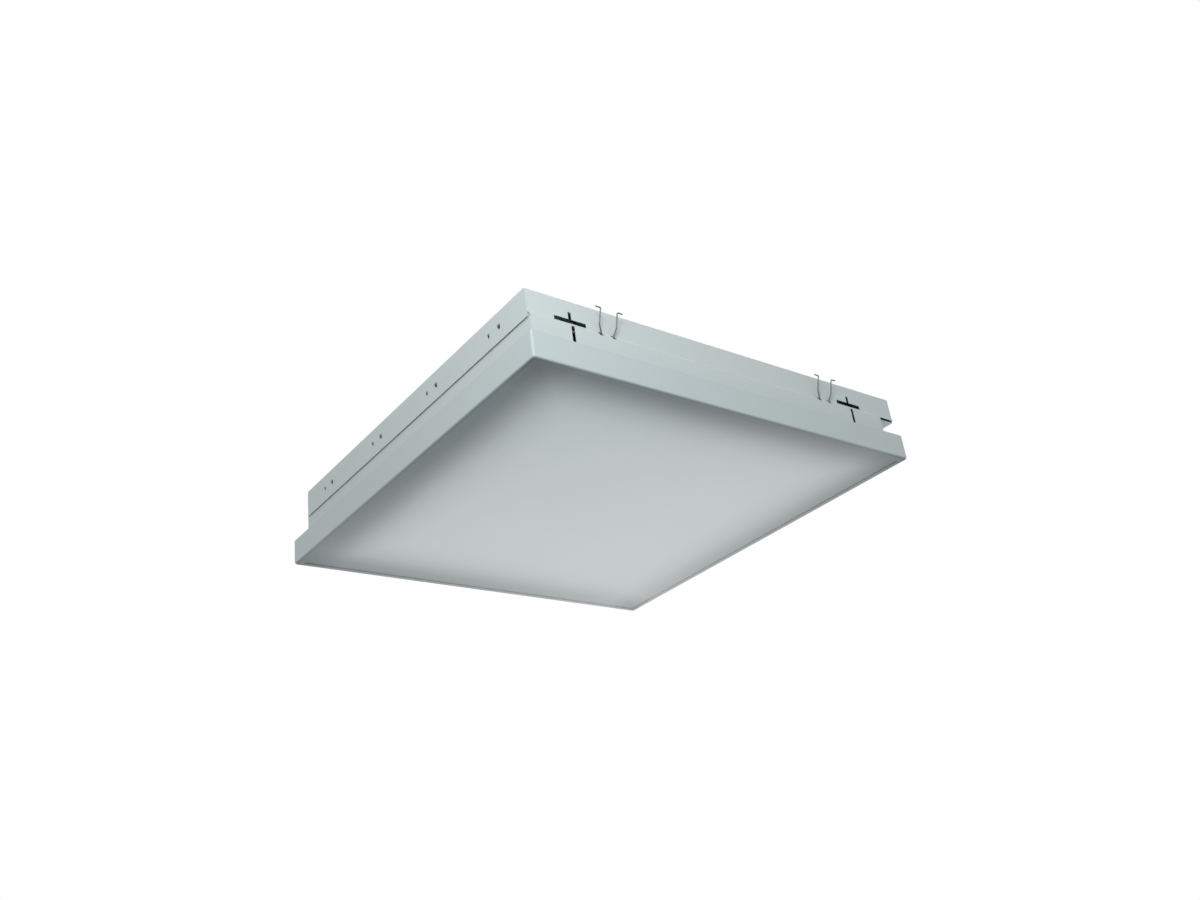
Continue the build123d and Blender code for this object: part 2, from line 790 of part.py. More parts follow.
def helix_point(turn):
    angle = pi + 2 * pi * turn
    return Vector(coil_radius * cos(angle), coil_radius * sin(angle), coil_pitch * (coil_turns_each - turn))


def helix_tangent(turn):
    angle = pi + 2 * pi * turn
    climb = -coil_pitch / (2 * pi)
    return Vector(-coil_radius * sin(angle), coil_radius * cos(angle), climb).normalized()


def biarc(start, start_tangent, end, end_tangent):
    # Two arcs that meet with one tangent, from one point and direction to another
    chord = end - start
    both = start_tangent + end_tangent
    a = 2 * (1 - start_tangent.dot(end_tangent))
    b = 2 * chord.dot(both)
    c = -chord.dot(chord)
    reach = (-b + sqrt(b * b - 4 * a * c)) / (2 * a)
    knee_in = start + start_tangent * reach
    knee_out = end - end_tangent * reach
    middle = (knee_in + knee_out) * 0.5
    first = TangentArc(start, middle, tangent=start_tangent)
    return [first, TangentArc(middle, end, tangent=knee_out - knee_in)]


def coil_turns():
    last = coil_turns_each - coil_end_gap / 2 / (2 * pi * coil_radius)
    steps = ceil(2 * last)
    return [last * step / steps for step in range(steps + 1)]


def half_spring_path():
    # The left half: from its hook down the arm, round the pin and to the middle of the coil
    slant = sqrt(1 + spring_lean**2)
    root = helix_point(0)
    root_line = root - helix_tangent(0) * arm_bend
    points = [
        Vector(-arm_top_half - hook_length, (hook_height - coil_height) * slant, 0),
        Vector(-arm_top_half, (hook_height - coil_height) * slant, 0),
        Vector(-arm_bulge_half, (arm_bulge_height - coil_height) * slant, 0),
        Vector(-arm_slot_half, (arm_slot_height - coil_height) * slant, 0),
        root_line,
        root,
    ]
    bends = [hook_bend, arm_bend, arm_bend, arm_bend]
    arm = FilletPolyline(*points, radius=bends)
    turns = coil_turns()
    arcs = []
    for first, last in zip(turns, turns[1:]):
        arcs += biarc(helix_point(first), helix_tangent(first), helix_point(last), helix_tangent(last))
    return Wire(arm.edges() + [arc.edge() for arc in arcs])


def make_spring_halves(middle, side):
    path = half_spring_path()
    left = sweep(Plane(path @ 0, z_dir=path % 0) * Circle(spring_wire / 2), path=path)
    right = Rot(0, 180, 0) * left
    frame = spring_frame(middle)
    return {
        "left": mirrored_for(side, frame.location * left),
        "right": mirrored_for(side, frame.location * right),
    }


def print_coil_gap():
    # Least gap between neighbouring turns of one spring, from points along both halves
    count = 240
    points = [helix_point(2 * coil_turns_each * step / count) for step in range(count + 1)]
    apart = int(count / (2 * coil_turns_each) * 0.6)
    gaps = [
        (points[first] - points[second]).length - spring_wire
        for first in range(count + 1)
        for second in range(first + apart, count + 1)
    ]
    print("least gap between the turns of a spring", round(min(gaps), 3), "mm")


def make_spring_bracket(middle, side):
    # A web riveted to the bead's upstand, with turned-in edges, narrower where it carries the pin
    low = bead_floor + bead_gap
    head = coil_height + pin_head_radius + bracket_flange
    foot = bead_upstand + bracket_shoulder
    half_foot = bracket_foot_width / 2
    half_head = bracket_head_width / 2
    outline = Polyline(
        (-half_foot, low),
        (half_foot, low),
        (half_foot, foot),
        (half_head, foot + half_foot - half_head),
        (half_head, head),
        (-half_head, head),
        (-half_head, foot + half_foot - half_head),
        (-half_foot, foot),
        close=True,
    )
    web = extrude(Plane.XZ * make_face(outline), -bracket_sheet)
    web = fillet(web.edges().filter_by(Axis.Y).group_by(Axis.Z)[-1], half_head / 2)
    flange_low = foot + half_foot - half_head
    for hand in (-1, 1):
        x_range = sorted((hand * half_head, hand * (half_head - bracket_sheet)))
        web += block(x_range, (0, bracket_flange), (flange_low, head - half_head / 2))
    web -= hole((0, 0, coil_height), (0, 1, 0), pin_radius, bracket_sheet)
    for x in (-rivet_offset, rivet_offset):
        web -= hole((x, 0, rivet_height), (0, 1, 0), rivet_radius, bracket_sheet)
    placed = Location((middle, -bead_inside, 0)) * web
    return mirrored_for(side, placed)


def make_spring_pins():
    # Shouldered pins: a riveted tail inside the bracket and a head past the coil
    axial = coil_pitch * coil_turns_each + spring_wire / 2
    lean_cos = 1 / sqrt(1 + spring_lean**2)
    coil_reach = axial * lean_cos + (coil_radius + spring_wire / 2) * spring_lean * lean_cos
    head_y = coil_y - coil_reach - spring_slot_margin
    tail_y = -bead_inside + bracket_sheet
    pins = []
    for middle, side in spring_places:
        pin = rod((middle, head_y, coil_height), (0, 1, 0), pin_radius, tail_y - head_y)
        pin += rod((middle, head_y, coil_height), (0, -1, 0), pin_head_radius, pin_head)
        pin += rod((middle, tail_y, coil_height), (0, 1, 0), pin_radius + pin_head, pin_head)
        pins.append(mirrored_for(side, pin))
    return Compound(children=pins)


def make_bracket_rivets():
    rivets = []
    near = -bead_inside - trim_sheet
    far = -bead_inside + bracket_sheet
    for middle, side in spring_places:
        for offset_x in (-rivet_offset, rivet_offset):
            x = middle + offset_x
            rivet = rod((x, near, rivet_height), (0, 1, 0), rivet_radius, far - near)
            rivet += rod((x, near, rivet_height), (0, -1, 0), rivet_head_radius, rivet_head)
            rivet += rod((x, far, rivet_height), (0, 1, 0), rivet_head_radius, rivet_head)
            rivets.append(mirrored_for(side, rivet))
    return Compound(children=rivets)


def cut_rivet_holes(bead, side):
    for middle, place_side in spring_places:
        if place_side == side:
            for offset_x in (-rivet_offset, rivet_offset):
                place = (middle + offset_x, -bead_inside, rivet_height)
                bead -= mirrored_for(side, hole(place, (0, 1, 0), rivet_radius, trim_sheet))
    return bead


# All pieces ----------------------------------------------------------------------------------------

os.makedirs("parts", exist_ok=True)

save("trim_frame", make_trim_frame())
save("diffuser", make_diffuser())
beads = make_glazing_beads()
beads["front"] = cut_rivet_holes(beads["front"], -1)
beads["back"] = cut_rivet_holes(beads["back"], 1)
for name, bead in beads.items():
    save(f"glazing_bead_{name}", bead)
save("gasket", make_gasket())

save("housing_channel", make_housing_channel())
save("end_plate_left", make_end_plate_left())
save("skirt_wall_left", make_skirt_wall_left())
save("skirt_wall_right", make_skirt_wall_right())
save("wiring_box", make_wiring_box())

save("reflector", make_reflector())
save(
    "reflector_screws",
    make_screws(
        reflector_screw_places(),
        top_inside - reflector_sheet,
        reflector_screw_radius,
        reflector_screw_head_radius,
        reflector_screw_head,
        reflector_sheet + sheet,
    ),
)
save("ballast", make_ballast())
save(
    "ballast_screws",
    make_screws(
        [(x, 0) for x in ballast_screw_places()],
        top_inside - ballast_foot_thickness,
        ballast_screw_radius,
        ballast_screw_head_radius,
        ballast_screw_head,
        ballast_foot_thickness + sheet,
    ),
)
save("terminal_block", make_terminal_block())
save("terminal_screws", make_terminal_screws())
save("earth_stud", make_earth_stud())
save("cable_grommet", make_cable_grommet())
for end_name, end in (("left", -1), ("right", 1)):
    for side_name, side in (("front", -1), ("back", 1)):
        save(f"leads_{end_name}_{side_name}", make_lamp_leads(end, side))
save("mains_leads", make_mains_leads())

for number, row in enumerate(lamp_rows, start=1):
    for end in ("left", "right"):
        save(f"lampholder_{end}_{number}", lampholder_place(end, row) * make_lampholder())
    save(f"lamp_{number}_tube", make_lamp_tube(row))
    save(f"lamp_{number}_caps", make_lamp_caps(row))

for number, (middle, side) in enumerate(spring_places, start=1):
    save(f"spring_bracket_{number}", make_spring_bracket(middle, side))
    for hand, half in make_spring_halves(middle, side).items():
        save(f"spring_{number}_{hand}_half", half)
save("spring_pins", make_spring_pins())
save("bracket_rivets", make_bracket_rivets())
print_coil_gap()
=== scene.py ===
import bpy
import json
import math
from mathutils import Matrix, Vector


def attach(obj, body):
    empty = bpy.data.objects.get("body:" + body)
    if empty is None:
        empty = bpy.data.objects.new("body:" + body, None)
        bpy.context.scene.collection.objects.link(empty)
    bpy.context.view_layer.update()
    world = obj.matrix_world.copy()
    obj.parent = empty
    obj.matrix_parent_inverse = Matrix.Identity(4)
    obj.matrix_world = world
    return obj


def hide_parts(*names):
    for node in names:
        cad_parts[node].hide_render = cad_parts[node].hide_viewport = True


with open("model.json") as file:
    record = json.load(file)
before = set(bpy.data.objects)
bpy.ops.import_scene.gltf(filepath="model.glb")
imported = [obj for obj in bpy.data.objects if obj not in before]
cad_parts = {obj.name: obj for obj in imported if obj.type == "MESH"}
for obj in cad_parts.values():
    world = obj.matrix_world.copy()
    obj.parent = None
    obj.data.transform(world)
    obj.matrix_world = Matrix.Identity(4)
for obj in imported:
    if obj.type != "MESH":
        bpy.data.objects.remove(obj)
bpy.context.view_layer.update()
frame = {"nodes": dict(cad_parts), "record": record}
print("frame loaded:", len(frame["nodes"]), "nodes")

scene = bpy.context.scene
nodes = frame["nodes"]
frameHalf = 0.2975  # from the middle of the light to the outside of the trim frame


# Camera, fitted to the corners of the trim frame and the housing

cameraLook = {
    "place": (-0.9547, -1.1694, -0.66665),
    "right": (0.7987, -0.5897, -0.1197),
    "up": (-0.18327, -0.42782, 0.88509),
    "lens": 36.745,
    "sensor": 36.0,
    "clip": (0.05, 40.0),
}


def makeCamera(look):
    data = bpy.data.cameras.new("camera")
    data.lens = look["lens"]
    data.sensor_width = look["sensor"]
    data.clip_start, data.clip_end = look["clip"]
    camera = bpy.data.objects.new("camera", data)
    scene.collection.objects.link(camera)
    right = Vector(look["right"]).normalized()
    up = Vector(look["up"])
    up = (up - right * up.dot(right)).normalized()
    back = right.cross(up)
    turn = Matrix((right, up, back)).transposed().to_4x4()
    camera.matrix_world = Matrix.Translation(look["place"]) @ turn
    scene.camera = camera


makeCamera(cameraLook)
print("camera ready")


# Helpers for node trees


def feed(tree, socket, value):
    # Another node's output is linked, a color or a number is set
    if isinstance(value, bpy.types.NodeSocket):
        tree.links.new(value, socket)
    elif isinstance(value, tuple):
        socket.default_value = (*value, 1)
    else:
        socket.default_value = value


def addNode(tree, kind, values):
    node = tree.nodes.new(kind)
    for name, value in values.items():
        feed(tree, node.inputs[name], value)
    return node


def addMath(tree, operation, *values):
    node = tree.nodes.new("ShaderNodeMath")
    node.operation = operation
    for socket, value in zip(node.inputs, values):
        feed(tree, socket, value)
    return node.outputs[0]


def addScaled(tree, color, share):
    node = tree.nodes.new("ShaderNodeVectorMath")
    node.operation = "SCALE"
    tree.links.new(color, node.inputs[0])
    tree.links.new(share, node.inputs["Scale"])
    return node.outputs[0]


def addMixColor(tree, share, first, second):
    node = tree.nodes.new("ShaderNodeMix")
    node.data_type = "RGBA"
    # Sockets 6 and 7 are the two colors, output 2 is their mix
    for place, value in ((0, share), (6, first), (7, second)):
        feed(tree, node.inputs[place], value)
    return node.outputs[2]


def addRange(tree, value, low, high, outLow=0.0, outHigh=1.0, smooth=False):
    node = addNode(tree, "ShaderNodeMapRange", {
        "Value": value, "From Min": low, "From Max": high, "To Min": outLow, "To Max": outHigh,
    })
    node.interpolation_type = "SMOOTHSTEP" if smooth else "LINEAR"
    return node.outputs["Result"]


def addNoise(tree, coords, scale, detail, rough):
    return addNode(tree, "ShaderNodeTexNoise", {
        "Vector": coords, "Scale": scale, "Detail": detail, "Roughness": rough,
    }).outputs["Fac"]


def addCoords(tree):
    return tree.nodes.new("ShaderNodeTexCoord").outputs["Object"]


def addAxes(tree, vector):
    parts = tree.nodes.new("ShaderNodeSeparateXYZ")
    tree.links.new(vector, parts.inputs[0])
    return parts.outputs


def addBump(tree, height, strength, depth, shader):
    bump = addNode(tree, "ShaderNodeBump", {
        "Height": height, "Strength": strength, "Distance": depth,
    })
    tree.links.new(bump.outputs["Normal"], shader.inputs["Normal"])


def mixShaders(tree, share, first, second, outputKind):
    mix = tree.nodes.new("ShaderNodeMixShader")
    for socket, value in zip(mix.inputs, (share, first.outputs[0], second.outputs[0])):
        tree.links.new(value, socket)
    output = tree.nodes.new(outputKind)
    tree.links.new(mix.outputs[0], output.inputs["Surface"])


def newMaterial(name):
    material = bpy.data.materials.new(name)
    material.use_nodes = True
    tree = material.node_tree
    tree.nodes.clear()
    return material, tree


def principled(tree, values):
    shader = addNode(tree, "ShaderNodeBsdfPrincipled", values)
    output = tree.nodes.new("ShaderNodeOutputMaterial")
    tree.links.new(shader.outputs[0], output.inputs["Surface"])
    return shader


# Light and surroundings

studioLook = {
    "floorHeight": -1.7,
    "floorSize": 14.0,
    "floorColor": (0.82, 0.83, 0.83),
    "floorGlow": (0.45, 1.0),  # under the light and at the floor's rim, where it meets the white
    "floorFade": (1.5, 6.5),
    "ambient": 0.47,
    "ambientColor": (0.965, 1.0, 1.0),
    "white": (1.0, 1.0, 1.0),
    "whiteStrength": 1.0,
}
lampLooks = {
    "keyFrontLeft": {
        "place": (-0.82, -1.0, 0.27), "aim": (-0.25, -0.25, 0.04),
        "size": 0.5, "watts": 6.7, "color": (0.97, 1.0, 1.0),
    },
    "lowFill": {
        "place": (0.4, 0.3, -1.45), "aim": (0.1, 0.1, 0.0),
        "size": 1.8, "watts": 5.2, "color": (0.98, 1.0, 1.0),
    },
    "topBack": {
        "place": (0.9, 1.4, 1.8), "aim": (0.0, 0.0, 0.1),
        "size": 1.6, "watts": 20.0, "color": (1.0, 1.0, 1.0),
    },
}


def makeWorld(look):
    # Pale light from all round; white where the camera, a reflection or glass looks at it
    world = bpy.data.worlds.new("studioWorld")
    scene.world = world
    world.use_nodes = True
    tree = world.node_tree
    tree.nodes.clear()
    soft = addNode(tree, "ShaderNodeBackground", {
        "Color": look["ambientColor"], "Strength": look["ambient"],
    })
    white = addNode(tree, "ShaderNodeBackground", {
        "Color": look["white"], "Strength": look["whiteStrength"],
    })
    rays = tree.nodes.new("ShaderNodeLightPath").outputs
    seen = addMath(tree, "MAXIMUM", rays["Is Camera Ray"], rays["Is Glossy Ray"])
    seen = addMath(tree, "MAXIMUM", seen, rays["Is Transmission Ray"])
    mixShaders(tree, seen, soft, white, "ShaderNodeOutputWorld")


def makeFloor(look):
    # A matte floor that throws light up at the part and fades into the white round it
    half = look["floorSize"] / 2
    height = look["floorHeight"]
    corners = [(x * half, y * half, height) for x, y in ((-1, -1), (1, -1), (1, 1), (-1, 1))]
    mesh = bpy.data.meshes.new("floor")
    mesh.from_pydata(corners, [], [(0, 1, 2, 3)])
    floor = bpy.data.objects.new("floor", mesh)
    scene.collection.objects.link(floor)

    material, tree = newMaterial("paleFloor")
    matte = addNode(tree, "ShaderNodeBsdfDiffuse", {"Color": look["floorColor"]})
    glow = addNode(tree, "ShaderNodeEmission", {
        "Color": look["white"], "Strength": look["whiteStrength"],
    })
    away = tree.nodes.new("ShaderNodeVectorMath")
    away.operation = "LENGTH"
    tree.links.new(addCoords(tree), away.inputs[0])
    fade = addRange(
        tree, away.outputs["Value"], *look["floorFade"], *look["floorGlow"], smooth=True,
    )
    rays = tree.nodes.new("ShaderNodeLightPath").outputs
    seen = addMath(tree, "MAXIMUM", rays["Is Camera Ray"], rays["Is Glossy Ray"])
    mixShaders(tree, addMath(tree, "MULTIPLY", seen, fade), matte, glow, "ShaderNodeOutputMaterial")
    mesh.materials.append(material)


def makeLamp(name, look):
    data = bpy.data.lights.new(name, "AREA")
    data.shape = "DISK"
    data.size = look["size"]
    data.energy = look["watts"]
    data.color = look["color"]
    lamp = bpy.data.objects.new(name, data)
    scene.collection.objects.link(lamp)
    lamp.location = look["place"]
    lamp.rotation_mode = "QUATERNION"
    toAim = Vector(look["aim"]) - Vector(look["place"])
    lamp.rotation_quaternion = toAim.to_track_quat("-Z", "Y")
    lamp.visible_camera = False


makeWorld(studioLook)
makeFloor(studioLook)
for name, look in lampLooks.items():
    makeLamp(name, look)
scene.view_settings.view_transform = "Standard"
print("light and floor ready")


# Paint, one node group that all painted sheets share

filmLook = {
    "cloud": {"scale": 3.5, "detail": 4.0, "rough": 0.6},
    "cloudRoughness": 0.16,
    "dust": {"scale": 260.0, "detail": 2.0, "rough": 0.5},
    "dustEdge": (0.66, 0.74),
    "dustTone": 0.975,
    "peel": {"detail": 2.0, "rough": 0.5},
    "peelDepth": 0.00015,
    "ior": 1.5,
}


def newGroup(name, inputs, outputs):
    group = bpy.data.node_groups.new(name, "ShaderNodeTree")
    for socketName, kind, value in inputs:
        socket = group.interface.new_socket(name=socketName, in_out="INPUT", socket_type=kind)
        socket.default_value = value
    for socketName, kind in outputs:
        group.interface.new_socket(name=socketName, in_out="OUTPUT", socket_type=kind)
    start = group.nodes.new("NodeGroupInput")
    end = group.nodes.new("NodeGroupOutput")
    return group, start.outputs, end.inputs


def makePaintGroup(look):
    # Stoved paint on sheet metal: cloudy tone, fine orange peel, a little dust in it
    group, start, end = newGroup(
        "paintFilm",
        [
            ("Color", "NodeSocketColor", (0.6, 0.66, 0.66, 1)),
            ("Cloud", "NodeSocketFloat", 0.04),
            ("Peel Scale", "NodeSocketFloat", 700.0),
            ("Roughness", "NodeSocketFloat", 0.42),
        ],
        [
            ("Color", "NodeSocketColor"),
            ("Roughness", "NodeSocketFloat"),
            ("Height", "NodeSocketFloat"),
        ],
    )
    coords = addCoords(group)
    cloud = addMath(group, "SUBTRACT", addNoise(group, coords, **look["cloud"]), 0.5)
    tone = addMath(group, "ADD", addMath(group, "MULTIPLY", cloud, start["Cloud"]), 1.0)
    dust = addNoise(group, coords, **look["dust"])
    fleck = addRange(group, dust, *look["dustEdge"], 1.0, look["dustTone"])
    tone = addMath(group, "MULTIPLY", tone, fleck)
    rough = addMath(group, "MULTIPLY_ADD", cloud, look["cloudRoughness"], start["Roughness"])
    peel = addNoise(group, coords, start["Peel Scale"], **look["peel"])
    group.links.new(addScaled(group, start["Color"], tone), end["Color"])
    group.links.new(rough, end["Roughness"])
    group.links.new(peel, end["Height"])
    return group


paintGroup = makePaintGroup(filmLook)

# Painted shade round the diffuser's border, which no lamp lights from behind; the frame's lip gets
# it too
paintedShadeBorder = {
    # near is the darkest painted shade, at the front left; far is the palest, at the back right
    "near": (0.203, 0.235, 0.248),
    "far": (0.69, 0.7, 0.705),
    "fall": 2,
    "cornerShade": 0.62,
    "cornerReach": 0.065,
}


def addAcross(tree, axes):
    # 0 at the front left corner of the light, 1 at the back right one
    return addRange(tree, addMath(tree, "ADD", axes["X"], axes["Y"]), -2 * frameHalf, 2 * frameHalf)


def addPaintedShadeBorder(tree, axes, look):
    # Painted shade: palest at the back right, darker towards the front left, and painted darker
    # still in the corners
    share = addMath(tree, "POWER", addAcross(tree, axes), look["fall"])
    color = addMixColor(tree, share, look["near"], look["far"])
    sides = [addMath(tree, "ABSOLUTE", axes[axis]) for axis in ("X", "Y")]
    inward = addMath(tree, "SUBTRACT", frameHalf, addMath(tree, "MINIMUM", *sides))
    shade = addRange(tree, inward, 0.0, look["cornerReach"], look["cornerShade"], 1.0)
    return addScaled(tree, color, shade)


def makePaint(name, look):
    material, tree = newMaterial(name)
    shader = principled(tree, {"Specular IOR Level": look["specular"], "IOR": filmLook["ior"]})
    film = tree.nodes.new("ShaderNodeGroup")
    film.node_tree = paintGroup
    feed(tree, film.inputs["Color"], look["color"])
    feed(tree, film.inputs["Cloud"], look["cloud"])
    feed(tree, film.inputs["Peel Scale"], look["peelScale"])
    feed(tree, film.inputs["Roughness"], look["roughness"])
    color = film.outputs["Color"]
    # Painted shade on the frame's lower roll and lip, the same as on the diffuser's border
    if "lip" in look:
        axes = addAxes(tree, addCoords(tree))
        near = addRange(tree, axes["Z"], *look["lip"], 1.0, 0.0, smooth=True)
        color = addMixColor(tree, near, color, addPaintedShadeBorder(tree, axes, paintedShadeBorder))
    tree.links.new(color, shader.inputs["Base Color"])
    tree.links.new(film.outputs["Roughness"], shader.inputs["Roughness"])
    addBump(tree, film.outputs["Height"], look["peel"], filmLook["peelDepth"], shader)
    return material


housingPaint = makePaint("housingPaint", {
    "color": (0.60, 0.665, 0.66), "cloud": 0.05, "peelScale": 420.0, "peel": 0.06,
    "roughness": 0.46, "specular": 0.4,
})
framePaint = makePaint("framePaint", {
    "color": (0.54, 0.605, 0.612), "cloud": 0.04, "peelScale": 420.0, "peel": 0.06,
    "roughness": 0.44, "specular": 0.4,
    # heights of the painted shade on the lip
    "lip": (0.0004, 0.0034),  # heights: dark like the diffuser's border below, plain above
})
whitePaint = makePaint("reflectorWhite", {
    "color": (0.84, 0.85, 0.84), "cloud": 0.03, "peelScale": 500.0, "peel": 0.04,
    "roughness": 0.25, "specular": 0.5,
})


# Diffuser

diffuserLook = {
    "nearer": {"X": 0.004, "Y": -0.005},  # the glow reaches nearer to the right and front edges
    "rampEnd": 0.2,  # from the outside of the frame to where the light is even
    # how much painted glow there is at each place in from the outside of the frame
    "ramp": [
        (0.0, 0.0), (0.016, 0.02), (0.026, 0.08), (0.04, 0.26),
        (0.06, 0.6), (0.085, 0.84), (0.12, 0.96), (0.2, 1.0),
    ],
    "wave": {"scale": 5.0, "detail": 3.0, "rough": 0.5},
    "waveReach": 0.008,
    "paintedGlowNear": (0.785, 0.835, 0.85),
    "paintedGlowFar": (0.9, 0.925, 0.93),
    "grain": {"scale": 900.0, "detail": 2.0, "rough": 0.5},
    "grainBump": 0.03,
    "grainDepth": 0.0001,
    "shader": {"Roughness": 0.38, "IOR": 1.49, "Specular IOR Level": 0.3},
}


def addPaintedGlowRamp(tree, look, axis, wave):
    # The share of painted glow along one axis, by the distance in from the frame's outside
    shift = look["nearer"][axis.name]
    away = addMath(tree, "ABSOLUTE", addMath(tree, "SUBTRACT", axis, shift))
    inward = addMath(tree, "SUBTRACT", frameHalf + abs(shift), away)
    inward = addMath(tree, "MULTIPLY_ADD", wave, look["waveReach"], inward)
    ramp = tree.nodes.new("ShaderNodeValToRGB")
    ramp.color_ramp.interpolation = "B_SPLINE"
    stops = ramp.color_ramp.elements
    for place, share in look["ramp"]:
        stop = stops[0] if place == 0 else stops.new(place / look["rampEnd"])
        stop.position = place / look["rampEnd"]
        stop.color = (share, share, share, 1)
    stops.remove(stops[-1])  # the ramp's own last stop
    tree.links.new(addRange(tree, inward, 0.0, look["rampEnd"]), ramp.inputs[0])
    return ramp.outputs[0]


def makeDiffuserMaterial(look):
    # Opal sheet with painted light: a painted glow over the lamp chamber, and painted shade where
    # the beads and the foam lie behind it
    material, tree = newMaterial("opalSheet")
    shader = principled(tree, look["shader"])
    coords = addCoords(tree)
    axes = addAxes(tree, coords)
    wave = addMath(tree, "SUBTRACT", addNoise(tree, coords, **look["wave"]), 0.5)
    shares = [addPaintedGlowRamp(tree, look, axes[axis], wave) for axis in ("X", "Y")]
    lower = addMath(tree, "MINIMUM", *shares)
    higher = addMath(tree, "MAXIMUM", *shares)
    light = addMath(tree, "MULTIPLY", lower, addMath(tree, "SQRT", higher))
    edge = addPaintedShadeBorder(tree, axes, paintedShadeBorder)
    # the painted glow is paler towards the back right
    middle = addMixColor(tree, addAcross(tree, axes), look["paintedGlowNear"], look["paintedGlowFar"])
    tree.links.new(addMixColor(tree, light, edge, middle), shader.inputs["Base Color"])
    grain = addNoise(tree, coords, **look["grain"])
    addBump(tree, grain, look["grainBump"], look["grainDepth"], shader)
    return material


opalSheet = makeDiffuserMaterial(diffuserLook)


# Plastics, rubber, glass and bare metals, with a fine uneven tone

toneLook = {
    "detail": 4.0,
    "rough": 0.6,
    "colorEdge": (0.35, 0.68),
    "roughEdge": (0.3, 0.7),
    "bumpDepth": 0.0002,
}


def makePlain(name, look):
    material, tree = newMaterial(name)
    shader = principled(tree, {
        "Metallic": look.get("metallic", 0.0), "Specular IOR Level": look.get("specular", 0.5),
    })
    coords = addCoords(tree)
    stretch = tree.nodes.new("ShaderNodeMapping")
    stretch.inputs["Scale"].default_value = look.get("stretch", (1, 1, 1))
    tree.links.new(coords, stretch.inputs["Vector"])
    tone = addNoise(tree, stretch.outputs[0], look["scale"], toneLook["detail"], toneLook["rough"])
    darker = tuple(channel * look["dark"] for channel in look["color"])
    color = addMixColor(tree, addRange(tree, tone, *toneLook["colorEdge"]), darker, look["color"])
    # Painted shade on the catches' ends: their recesses near black, their tips mid-grey
    if "ends" in look:
        ends = look["ends"]
        place = addMath(tree, "ABSOLUTE", addAxes(tree, coords)["X"])
        color = addMixColor(tree, addRange(tree, place, *ends["edge"]), color, ends["color"])
        atTip = addMath(tree, "GREATER_THAN", place, ends["tip"])
        color = addMixColor(tree, atTip, color, ends["tipShadeColor"])
    tree.links.new(color, shader.inputs["Base Color"])
    rough = addRange(tree, tone, *toneLook["roughEdge"], *look["rough"])
    tree.links.new(rough, shader.inputs["Roughness"])
    addBump(tree, tone, look["bump"], toneLook["bumpDepth"], shader)
    return material


zincPlate = makePlain("zincPlate", {
    "color": (0.62, 0.64, 0.66), "dark": 0.82, "metallic": 1.0,
    "scale": 90.0, "stretch": (0.25, 1, 1), "rough": (0.28, 0.42), "bump": 0.06,
})
springWire = makePlain("springWire", {
    "color": (0.19, 0.205, 0.21), "dark": 0.6, "metallic": 0.75,
    "scale": 500.0, "stretch": (1, 1, 0.15), "rough": (0.34, 0.5), "bump": 0.1,
})
foamRubber = makePlain("foamRubber", {
    "color": (0.05, 0.052, 0.055), "dark": 0.6, "specular": 0.2,
    "scale": 900.0, "rough": (0.8, 0.95), "bump": 0.6,
})
blackRubber = makePlain("blackRubber", {
    "color": (0.03, 0.031, 0.033), "dark": 0.7, "specular": 0.35,
    "scale": 160.0, "rough": (0.55, 0.7), "bump": 0.1,
})
whitePlastic = makePlain("whitePlastic", {
    "color": (0.78, 0.785, 0.76), "dark": 0.95,
    "scale": 60.0, "rough": (0.3, 0.42), "bump": 0.05,
    # painted shade: the holders' catches, which show through the left end plate, are painted near
    # black in their recesses and mid-grey at the tip
    "ends": {
        "edge": (0.2828, 0.2831), "color": (0.03, 0.034, 0.036),
        "tip": 0.2848, "tipShadeColor": (0.16, 0.17, 0.17),
    },
})
lampGlass = makePlain("lampGlass", {
    "color": (0.85, 0.86, 0.84), "dark": 0.96,
    "scale": 25.0, "stretch": (0.2, 1, 1), "rough": (0.12, 0.2), "bump": 0.02,
})
lampMetal = makePlain("lampMetal", {
    "color": (0.68, 0.69, 0.70), "dark": 0.88, "metallic": 1.0,
    "scale": 120.0, "stretch": (0.2, 1, 1), "rough": (0.26, 0.38), "bump": 0.05,
})
ballastWhite = makePlain("ballastWhite", {
    "color": (0.74, 0.755, 0.75), "dark": 0.95,
    "scale": 40.0, "rough": (0.4, 0.5), "bump": 0.05,
})
brassMetal = makePlain("brassMetal", {
    "color": (0.66, 0.50, 0.24), "dark": 0.75, "metallic": 1.0,
    "scale": 150.0, "rough": (0.3, 0.45), "bump": 0.08,
})
wirePlastic = makePlain("wirePlastic", {
    "color": (0.76, 0.765, 0.75), "dark": 0.95,
    "scale": 80.0, "rough": (0.35, 0.5), "bump": 0.05,
})

finishFor = {
    "housing_steel": housingPaint,
    "frame_steel": framePaint,
    "opal_acrylic": opalSheet,
    "zinc_steel": zincPlate,
    "foam": foamRubber,
    "white_sheet": whitePaint,
    "white_plastic": whitePlastic,
    "lamp_glass": lampGlass,
    "lamp_metal": lampMetal,
    "ballast_case": ballastWhite,
    "clamp_brass": brassMetal,
    "black_rubber": blackRubber,
    "wire_pvc": wirePlastic,
    "spring_steel": springWire,
}
for entry in frame["record"]["subparts"]:
    piece = nodes[entry["node"]]
    piece.data.materials.clear()
    piece.data.materials.append(finishFor[entry["material_slot"]])
print("finishes on all nodes")


# Screws and rivets, grown on points by Geometry Nodes

domeLook = {"rings": 5, "fullness": 1.6}
recessShare = 1.1  # the cross recess's length, as a share of the head's radius
shankOverlap = 0.25  # how far the shank reaches into the head, as a share of its height


